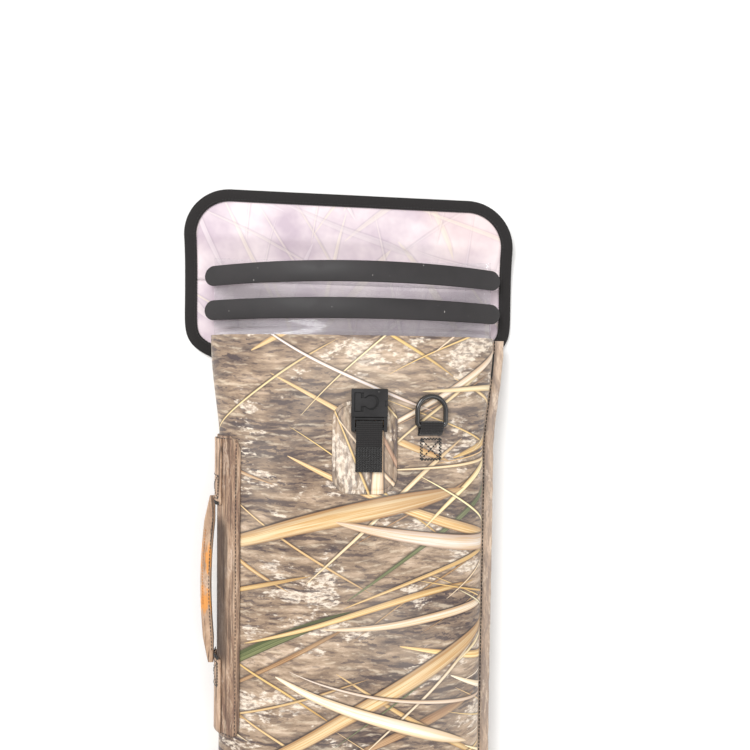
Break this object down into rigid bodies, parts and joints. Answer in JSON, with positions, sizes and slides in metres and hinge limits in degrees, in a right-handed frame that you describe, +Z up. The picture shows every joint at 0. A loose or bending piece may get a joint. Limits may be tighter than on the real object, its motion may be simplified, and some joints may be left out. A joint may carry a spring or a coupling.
{
  "type": "roll-top field gun case",
  "caption": "Padded sleeve for a long gun with a roll-down clear collar, bound closing flap, strap buckle, sling rings and side carry handle.",
  "frame": {"origin": "centre of the whole object's footprint, on the floor that it lies on", "axes": "+X across the case to the seam side, +Y along it towards the mouth and flap, +Z up through the front"},
  "size_m": [0.271, 1.4388, 0.0674],
  "materials": {
    "printed_shell": "camouflage print on coated cloth",
    "bark_print": "bark print on coated cloth",
    "flap_inner": "pale coated back of the print",
    "foam": "closed cell foam",
    "lining": "plain woven lining",
    "clear_film": "clear flexible film",
    "strip_rubber": "matte",
    "black_webbing": "ribbed webbing",
    "black_plastic": "fine matte",
    "coated_steel": "black enamel",
    "magnet": "plated"
  },
  "bodies": {
    "case": {"back_shell": "printed_shell", "front_shell": "printed_shell", "back_foam": "foam", "front_foam": "foam", "back_lining": "lining", "front_lining": "lining", "muzzle_boot": "bark_print", "side_seam_tape": "bark_print", "handle_wrap_patch": "bark_print", "handle_webbing_upper": "bark_print", "handle_webbing_lower": "bark_print", "film_front_tuck": "clear_film", "film_back_tuck": "clear_film", "flap_hem": "flap_inner", "flap_hem_binding_left": "black_webbing", "flap_hem_binding_right": "black_webbing", "buckle_patch": "printed_shell", "strap_sewn_end": "black_webbing", "ring_tab_upper": "black_webbing", "ring_tab_lower": "black_webbing"},
    "collar_lower": {"film_front_lower": "clear_film", "film_back_lower": "clear_film", "stiffener_strip_lower": "strip_rubber"},
    "collar_upper": {"film_front_upper": "clear_film", "film_back_upper": "clear_film", "stiffener_strip_upper": "strip_rubber"},
    "flap_root": {"flap_root_panel": "flap_inner", "flap_root_binding_left": "black_webbing", "flap_root_binding_right": "black_webbing"},
    "flap_tip": {"flap_tip_panel": "flap_inner", "flap_tip_binding": "black_webbing", "flap_strap_sewn_end": "black_webbing"},
    "flap_buckle": {"flap_strap": "black_webbing", "flap_buckle_half": "black_plastic", "flap_buckle_magnet": "magnet"},
    "front_strap": {"strap_loop": "black_webbing"},
    "front_buckle": {"front_buckle_half": "black_plastic", "front_buckle_magnet": "magnet"},
    "release_key": {"release_slider": "black_plastic"},
    "sling_ring_upper": {"d_ring_upper": "coated_steel"},
    "sling_ring_lower": {"d_ring_lower": "coated_steel"},
    "carry_handle": {"handle_grip": "bark_print"}
  },
  "joints": [
    {"name": "flap_root_fold", "type": "hinge", "parent": "case", "child": "flap_root", "pos_m": [0, 0.6104, 0.00335], "axis": [1, 0, 0], "range_deg": [0, 90]},
    {"name": "flap_tip_fold", "type": "hinge", "parent": "flap_root", "child": "flap_tip", "pos_m": [0, 0.6804, 0.0092], "axis": [1, 0, 0], "range_deg": [0, 90]},
    {"name": "flap_strap_fold", "type": "hinge", "parent": "flap_tip", "child": "flap_buckle", "pos_m": [0.0155, 0.7184, 0.00275], "axis": [1, 0, 0], "range_deg": [0, 198]},
    {"name": "collar_fold_lower", "type": "hinge", "parent": "case", "child": "collar_lower", "pos_m": [0.0035, 0.6076, 0.0585], "axis": [1, 0, 0], "range_deg": [0, 175.5], "deforming": ["film_front_lower", "film_back_lower", "stiffener_strip_lower"]},
    {"name": "collar_fold_upper", "type": "hinge", "parent": "collar_lower", "child": "collar_upper", "pos_m": [0.0035, 0.6358, 0.0585], "axis": [1, 0, 0], "range_deg": [0, 175.5], "deforming": ["film_front_upper", "film_back_upper", "stiffener_strip_upper"]},
    {"name": "front_strap_fold", "type": "hinge", "parent": "case", "child": "front_strap", "pos_m": [0.0155, 0.5184, 0.0628], "axis": [1, 0, 0], "range_deg": [0, 120]},
    {"name": "front_buckle_swivel", "type": "hinge", "parent": "front_strap", "child": "front_buckle", "pos_m": [0.0155, 0.5314, 0.0633], "axis": [1, 0, 0], "range_deg": [0, 36]},
    {"name": "release_key_slide", "type": "slide", "parent": "front_buckle", "child": "release_key", "axis": [1, 0, 0], "range_m": [0, 0.0015], "stiffness_N_per_m": 150},
    {"name": "ring_upper_swing", "type": "hinge", "parent": "case", "child": "sling_ring_upper", "pos_m": [0.06275, 0.5337, 0.05858], "axis": [0.9882, 0, -0.153], "range_deg": [0, 160]},
    {"name": "ring_lower_swing", "type": "hinge", "parent": "case", "child": "sling_ring_lower", "pos_m": [0.05274, -0.4586, 0.04674], "axis": [0.9931, 0, -0.1174], "range_deg": [0, 160]},
    {"name": "handle_swing", "type": "hinge", "parent": "case", "child": "carry_handle", "pos_m": [-0.1055, 0.4104, 0.031], "axis": [0, 1, 0], "range_deg": [-80, 95]}
  ],
  "couplings": [
    {"joint": "flap_tip_fold", "follows": "flap_root_fold", "ratio": 1},
    {"joint": "collar_fold_lower", "follows": "flap_root_fold", "ratio": 1.95},
    {"joint": "collar_fold_upper", "follows": "flap_root_fold", "ratio": 1.95},
    {"joint": "front_buckle_swivel", "follows": "front_strap_fold", "ratio": 0.3}
  ]
}
